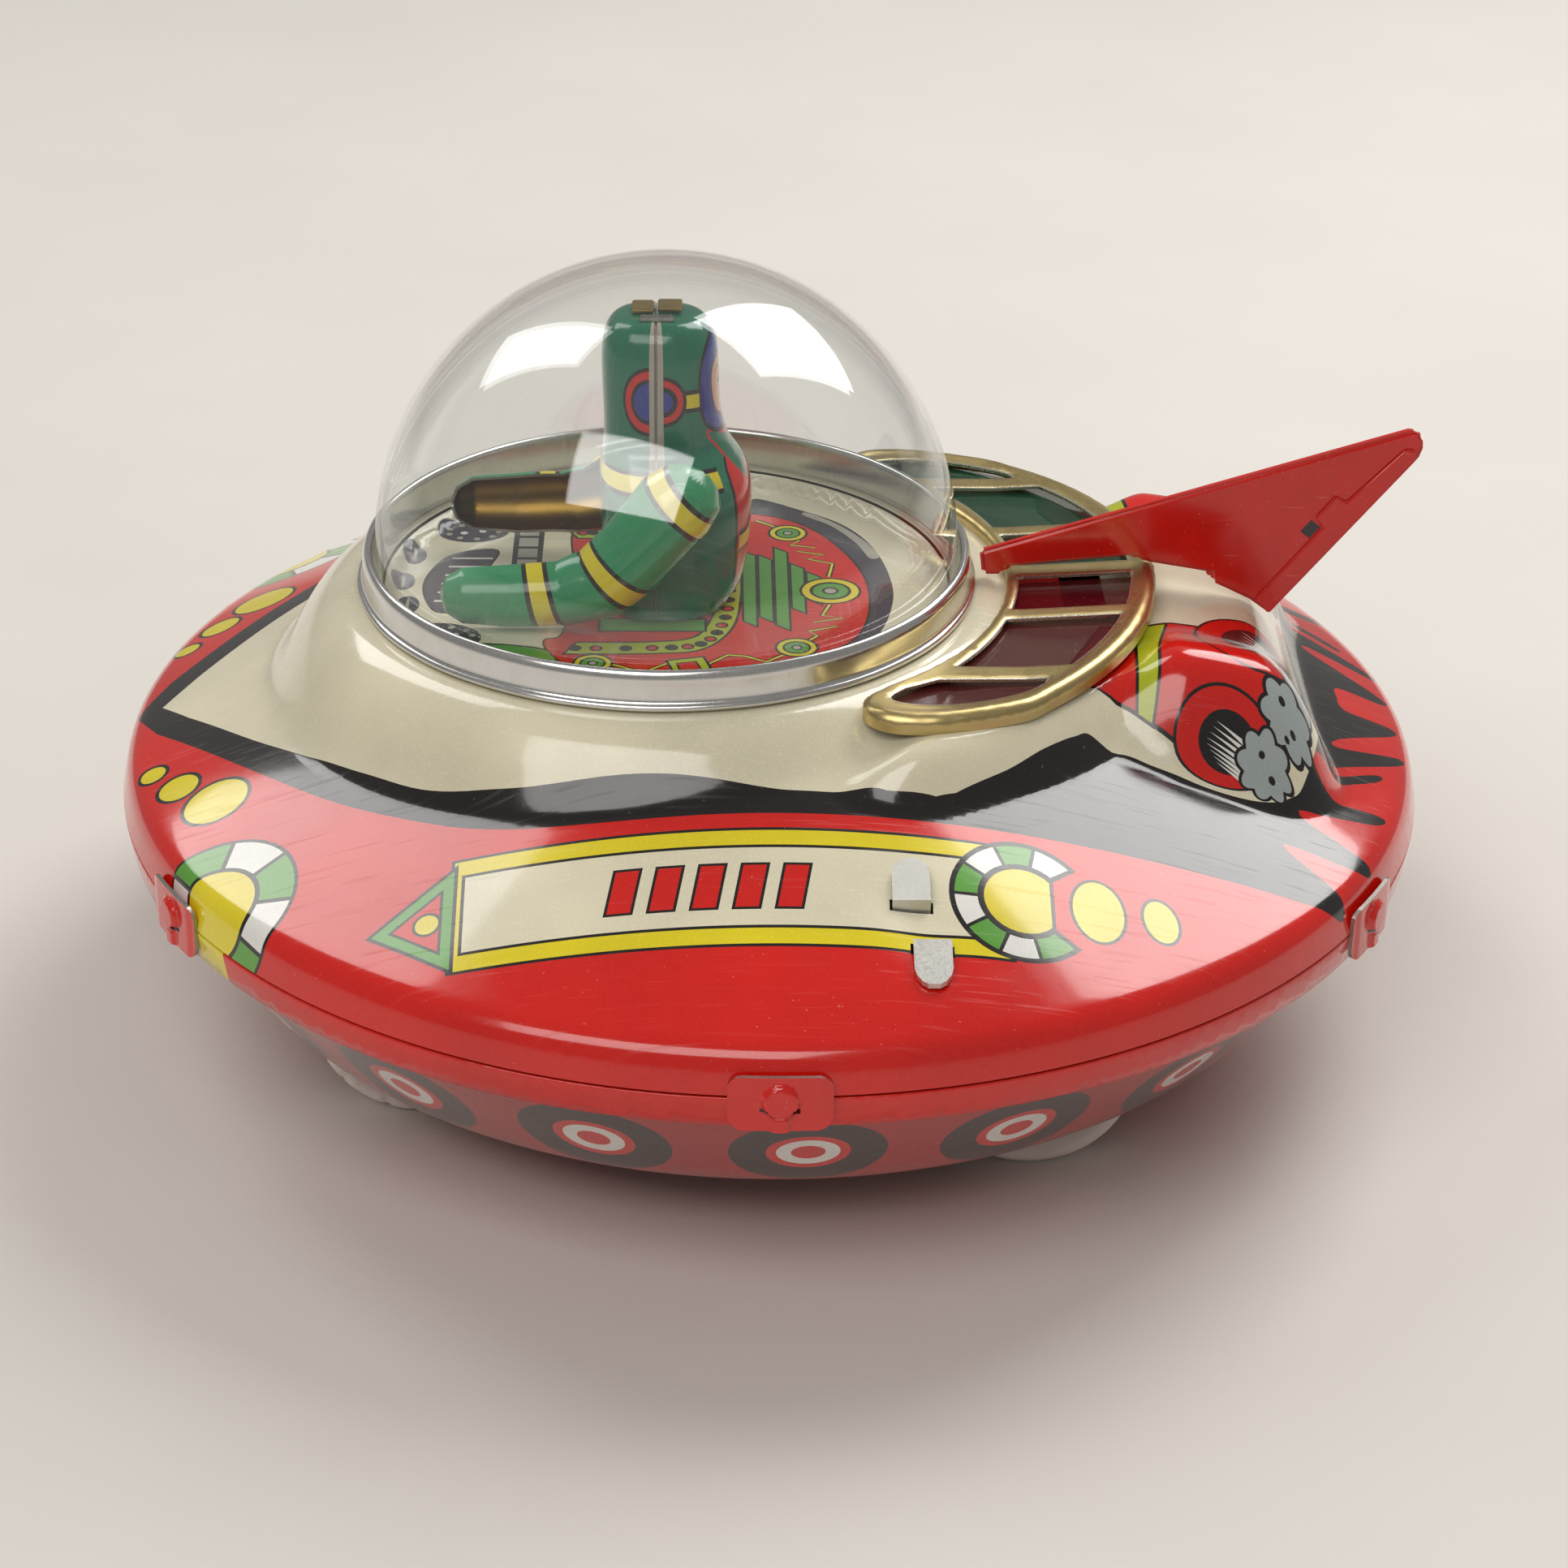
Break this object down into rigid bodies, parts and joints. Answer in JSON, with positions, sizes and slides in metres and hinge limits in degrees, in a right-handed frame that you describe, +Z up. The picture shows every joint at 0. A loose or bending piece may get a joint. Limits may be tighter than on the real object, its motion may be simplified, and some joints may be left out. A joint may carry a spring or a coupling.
{
  "type": "wind-up tin flying saucer",
  "caption": "Wind-up pressed-tin flying saucer with clear dome, seated pilot, spark window canopy, tail fin, clockwork and rolling wheels.",
  "frame": {"origin": "on the floor under the axis of the round rim", "axes": "+X to the tail fin, -Y to the side with the red windows, +Z up"},
  "size_m": [0.166, 0.1705, 0.0999],
  "materials": {
    "red_litho_tin": "glossy printed and varnished red tinplate with cream, black and yellow artwork",
    "dark_red_litho_tin": "glossy printed dark red tinplate with ringed target marks",
    "clip_tin": "red enamelled tin with rubbed edges",
    "clear_plastic": "clear moulded styrene, lightly scratched",
    "ring_aluminium": "spun aluminium, brushed round the ring",
    "cockpit_litho_tin": "cream tinplate printed with instruments in red, green and grey",
    "green_litho_tin": "glossy printed green tinplate with yellow and black bands",
    "gold_tin": "gold lacquered tin, worn bright on its rolled edge",
    "red_film": "transparent dark red film",
    "green_film": "transparent green film",
    "fin_red_tin": "glossy red enamelled tin, scratched",
    "bare_tin": "bare tinplate, dull silver",
    "wheel_white_tin": "white enamelled pressed tin, rubbed to bare metal",
    "axle_steel": "drawn steel wire",
    "gear_brass": "stamped brass",
    "pinion_steel": "cut steel",
    "spring_steel": "blued spring steel",
    "abrasive_wheel": "grey bonded grit",
    "flint": "dark cast flint",
    "flint_holder_red": "bright red painted strip",
    "motor_plate_steel": "plated steel sheet"
  },
  "bodies": {
    "hull": {"upper_shell": "red_litho_tin", "lower_shell": "dark_red_litho_tin", "dome": "clear_plastic", "dome_ring": "ring_aluminium", "cockpit_floor": "cockpit_litho_tin", "pilot_front_half": "green_litho_tin", "pilot_back_half": "green_litho_tin", "pilot_near_arm": "green_litho_tin", "pilot_far_arm": "green_litho_tin", "canopy_frame": "gold_tin", "red_window_film": "red_film", "green_window_film": "green_film", "tail_fin": "fin_red_tin", "shell_bracket_near": "bare_tin", "shell_bracket_far": "bare_tin", "front_axle_bracket": "bare_tin", "flint": "flint", "flint_holder": "flint_holder_red", "mainspring": "spring_steel", "motor_plate_near": "motor_plate_steel", "motor_plate_far": "motor_plate_steel", "rim_clip_1": "clip_tin", "rim_clip_2": "clip_tin", "rim_clip_3": "clip_tin", "rim_clip_4": "clip_tin", "rim_clip_5": "clip_tin", "rim_clip_6": "clip_tin", "motor_pillar_1": "axle_steel", "motor_pillar_2": "axle_steel", "motor_pillar_3": "axle_steel", "motor_pillar_4": "axle_steel", "motor_pillar_5": "axle_steel"},
    "rear_axle_set": {"rear_axle": "axle_steel", "rear_wheel_near": "wheel_white_tin", "rear_wheel_far": "wheel_white_tin", "rear_axle_pinion": "gear_brass"},
    "front_axle_set": {"front_axle": "axle_steel", "front_wheel_near": "wheel_white_tin", "front_wheel_far": "wheel_white_tin"},
    "second_shaft_set": {"second_shaft": "axle_steel", "second_wheel": "gear_brass", "second_pinion": "pinion_steel"},
    "third_shaft_set": {"third_shaft": "axle_steel", "third_pinion": "pinion_steel", "third_wheel": "gear_brass"},
    "spark_shaft_set": {"spark_shaft": "axle_steel", "spark_pinion": "pinion_steel", "spark_wheel": "abrasive_wheel"},
    "great_wheel_set": {"great_wheel": "gear_brass", "click": "pinion_steel"},
    "key_set": {"key_arbor": "axle_steel", "ratchet_wheel": "pinion_steel", "winding_key": "bare_tin"}
  },
  "joints": [
    {"name": "rear_axle_spin", "type": "hinge", "parent": "hull", "child": "rear_axle_set", "pos_m": [0.0315, 0, 0.01305], "axis": [0, 1, 0], "continuous": true},
    {"name": "front_axle_spin", "type": "hinge", "parent": "hull", "child": "front_axle_set", "pos_m": [-0.044, 0, 0.01305], "axis": [0, 1, 0], "continuous": true},
    {"name": "second_shaft_spin", "type": "hinge", "parent": "hull", "child": "second_shaft_set", "pos_m": [0.019, 0, 0.02205], "axis": [0, 1, 0], "continuous": true},
    {"name": "third_shaft_spin", "type": "hinge", "parent": "hull", "child": "third_shaft_set", "pos_m": [0.02451, 0, 0.03568], "axis": [0, 1, 0], "continuous": true},
    {"name": "spark_shaft_spin", "type": "hinge", "parent": "hull", "child": "spark_shaft_set", "pos_m": [0.03401, 0, 0.04498], "axis": [0, 1, 0], "continuous": true},
    {"name": "great_wheel_spin", "type": "hinge", "parent": "hull", "child": "great_wheel_set", "pos_m": [0.00186, 0, 0.0185], "axis": [0, 1, 0], "continuous": true},
    {"name": "key_wind", "type": "hinge", "parent": "great_wheel_set", "child": "key_set", "pos_m": [0.00186, 0, 0.0185], "axis": [0, 1, 0], "continuous": true}
  ],
  "couplings": [
    {"joint": "second_shaft_spin", "follows": "rear_axle_spin", "ratio": -0.375},
    {"joint": "third_shaft_spin", "follows": "rear_axle_spin", "ratio": 1.2},
    {"joint": "spark_shaft_spin", "follows": "rear_axle_spin", "ratio": -3.36},
    {"joint": "great_wheel_spin", "follows": "rear_axle_spin", "ratio": 0.09375}
  ]
}
